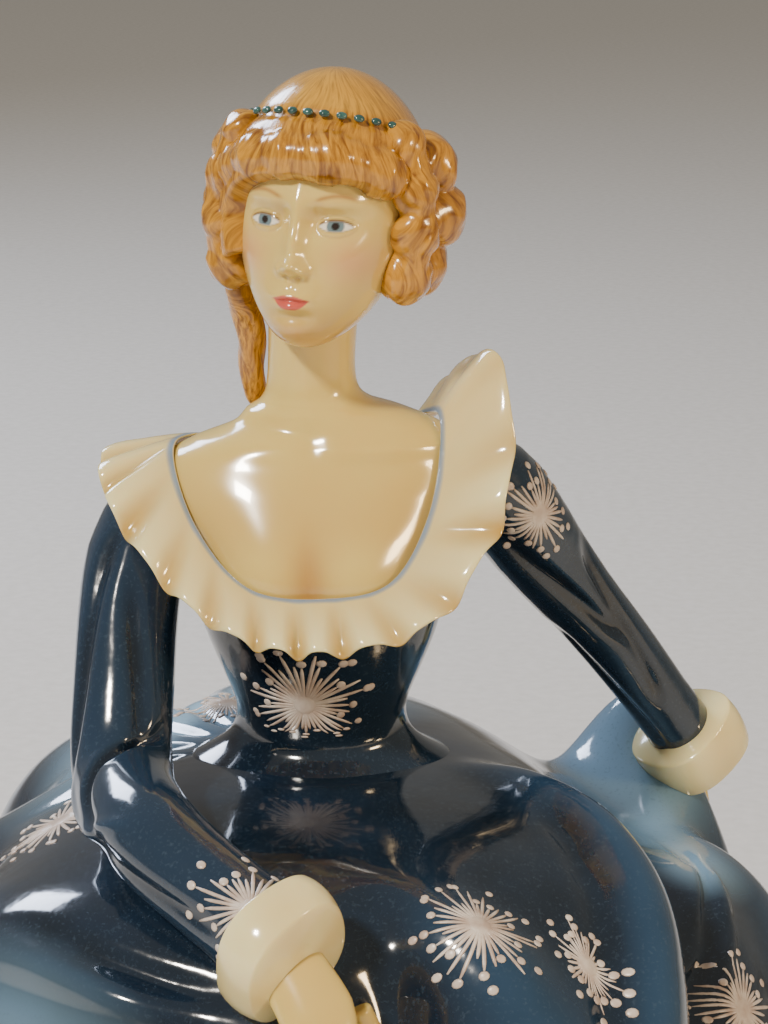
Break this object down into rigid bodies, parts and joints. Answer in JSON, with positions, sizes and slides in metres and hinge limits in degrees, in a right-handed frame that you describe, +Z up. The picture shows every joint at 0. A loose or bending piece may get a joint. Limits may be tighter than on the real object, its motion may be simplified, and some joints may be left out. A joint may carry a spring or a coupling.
{
  "type": "lady figurine",
  "caption": "Standing bone china lady in a long bell-shaped gown with a ruffled neckline, curled hair and one hand gathering up the skirt.",
  "frame": {"origin": "middle of the flat foot, under the middle of the waist", "axes": "+Z up, the figure looks along -Y and her left hand is towards +X"},
  "size_m": [0.1467, 0.1258, 0.1842],
  "materials": {
    "gown_glaze": "deep navy glossy glaze",
    "skin_glaze": "warm ivory glossy glaze",
    "cream_glaze": "cream glossy glaze",
    "hair_glaze": "brushed golden ginger under a glossy glaze",
    "bead_enamel": "slate blue enamel dots"
  },
  "bodies": {
    "root": {"skirt": "gown_glaze", "bodice": "gown_glaze", "shoulders_and_neck": "skin_glaze", "head": "skin_glaze", "hair_cap": "hair_glaze", "curls_right_side": "hair_glaze", "curls_left_side": "hair_glaze", "back_ringlets": "hair_glaze", "bead_band": "bead_enamel", "neck_frill": "cream_glaze", "right_sleeve": "gown_glaze", "left_sleeve": "gown_glaze", "right_cuff": "cream_glaze", "left_cuff": "cream_glaze", "right_hand": "skin_glaze", "left_hand": "skin_glaze"}
  },
  "joints": []
}
